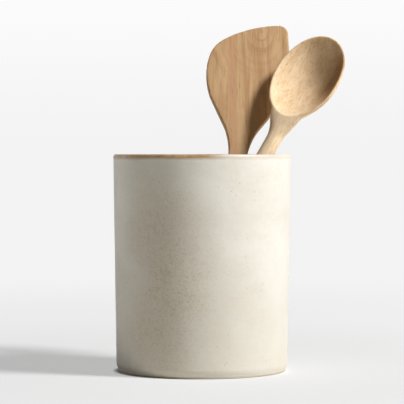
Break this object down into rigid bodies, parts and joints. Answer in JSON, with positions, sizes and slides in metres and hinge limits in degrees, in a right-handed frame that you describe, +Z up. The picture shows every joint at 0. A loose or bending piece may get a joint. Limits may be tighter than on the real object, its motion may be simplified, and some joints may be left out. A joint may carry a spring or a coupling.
{
  "type": "utensil crock",
  "caption": "Straight-sided glazed stoneware utensil crock, a little wider at the rim, with a wooden spoon and a slant-ended wooden turner standing in it that lift out.",
  "frame": {"origin": "middle of the crock's foot, on the plane that it stands on", "axes": "+Z up along the crock's axis, -Y towards the viewer of the reference picture, +X to that viewer's right"},
  "size_m": [0.1932, 0.1701, 0.289],
  "materials": {
    "stoneware_glaze": "satin cream glaze, cloudy and speckled, browner where it thins at the rim",
    "spoon_wood": "bare pale close-grained wood, smooth and dry",
    "turner_wood": "bare mid-brown wood, smooth and dry, with long streaks"
  },
  "bodies": {
    "crock": {"crock": "stoneware_glaze"},
    "spoon": {"wooden_spoon": "spoon_wood"},
    "turner": {"wooden_turner": "turner_wood"}
  },
  "joints": [
    {"name": "spoon_lift", "type": "slide", "parent": "crock", "child": "spoon", "axis": [0.4884, 0.2884, 0.8236], "range_m": [0, 0.24]},
    {"name": "turner_lift", "type": "slide", "parent": "crock", "child": "turner", "axis": [0.1243, 0.3539, 0.927], "range_m": [0, 0.22]}
  ]
}
